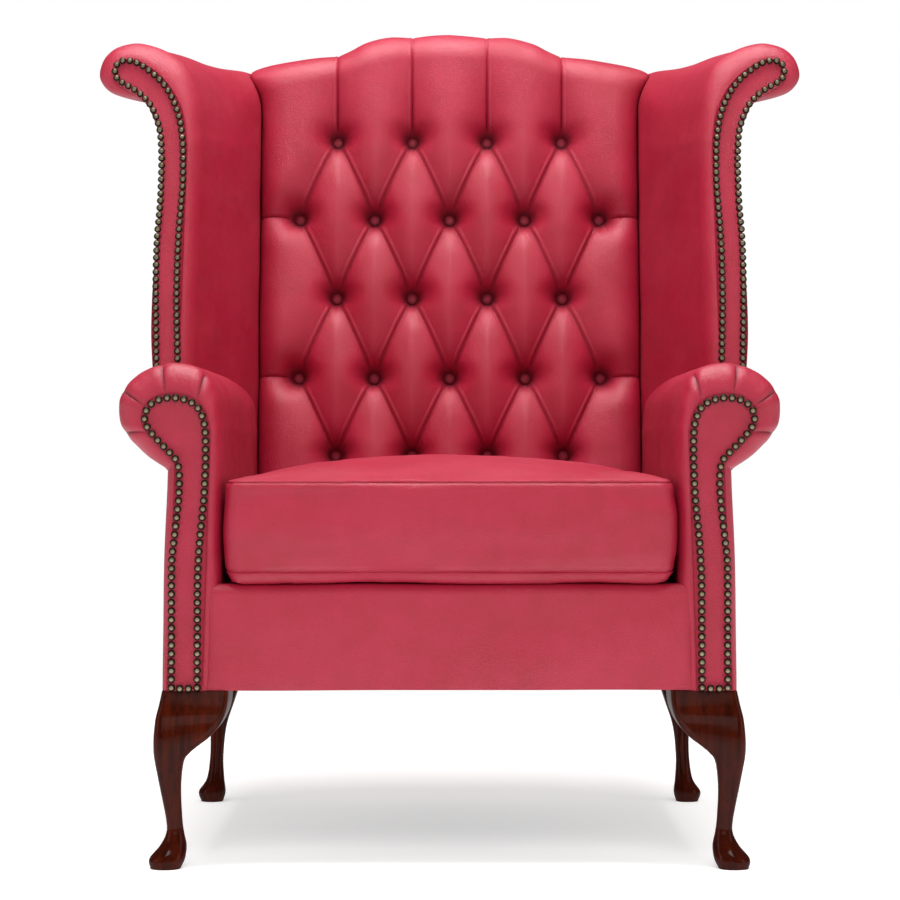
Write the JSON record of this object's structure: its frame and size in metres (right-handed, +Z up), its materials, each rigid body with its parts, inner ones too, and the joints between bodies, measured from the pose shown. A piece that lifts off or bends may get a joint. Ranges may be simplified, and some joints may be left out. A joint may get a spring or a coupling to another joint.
{
  "type": "wing armchair",
  "caption": "Deep-buttoned wing armchair in crimson leather with scroll arms, brass nails, cabriole legs and a loose seat cushion.",
  "frame": {"origin": "on the floor, under the middle of the chair's overall box", "axes": "+Z up; the chair faces -Y, and +X is to the right as seen from the front"},
  "size_m": [0.89, 0.7727, 1.0596],
  "materials": {
    "crimson_leather": "semi-aniline, soft sheen",
    "mahogany": "dark stain, french polished",
    "frame_hardwood": "sawn beech",
    "spring_steel": "oiled",
    "webbing": "woven jute",
    "deck_cloth": "woven lining",
    "cushion_filling": "foam and feather",
    "black_cloth": "dust cloth"
  },
  "bodies": {
    "chair": {"back_buttons": "crimson_leather", "back_pad": "crimson_leather", "back_webbing": "webbing", "corner_blocks": "frame_hardwood", "dust_cover": "black_cloth", "frame_dowels": "frame_hardwood", "front_border": "crimson_leather", "front_seat_rail": "frame_hardwood", "left_arm_facing": "crimson_leather", "left_arm_pad": "crimson_leather", "left_arm_post": "frame_hardwood", "left_arm_rail": "frame_hardwood", "left_back_post": "frame_hardwood", "left_front_leg": "mahogany", "left_outside_arm": "crimson_leather", "left_outside_wing": "crimson_leather", "left_rear_leg": "mahogany", "left_seat_rail": "frame_hardwood", "left_wing_facing": "crimson_leather", "left_wing_pad": "crimson_leather", "left_wing_post": "frame_hardwood", "left_wing_rail": "frame_hardwood", "leg_screws": "spring_steel", "lower_back_rail": "frame_hardwood", "outside_back": "crimson_leather", "rear_seat_rail": "frame_hardwood", "right_arm_facing": "crimson_leather", "right_arm_pad": "crimson_leather", "right_arm_post": "frame_hardwood", "right_arm_rail": "frame_hardwood", "right_back_post": "frame_hardwood", "right_front_leg": "mahogany", "right_outside_arm": "crimson_leather", "right_outside_wing": "crimson_leather", "right_rear_leg": "mahogany", "right_seat_rail": "frame_hardwood", "right_wing_facing": "crimson_leather", "right_wing_pad": "crimson_leather", "right_wing_post": "frame_hardwood", "right_wing_rail": "frame_hardwood", "seat_deck": "deck_cloth", "seat_springs": "spring_steel", "spring_clips": "spring_steel", "top_back_rail": "frame_hardwood"},
    "seat_cushion": {"seat_cushion_core": "cushion_filling", "seat_cushion_cover": "crimson_leather"}
  },
  "joints": [
    {"name": "seat_cushion_lift", "type": "slide", "parent": "chair", "child": "seat_cushion", "axis": [0, 0, 1], "range_m": [0, 0.6]}
  ]
}
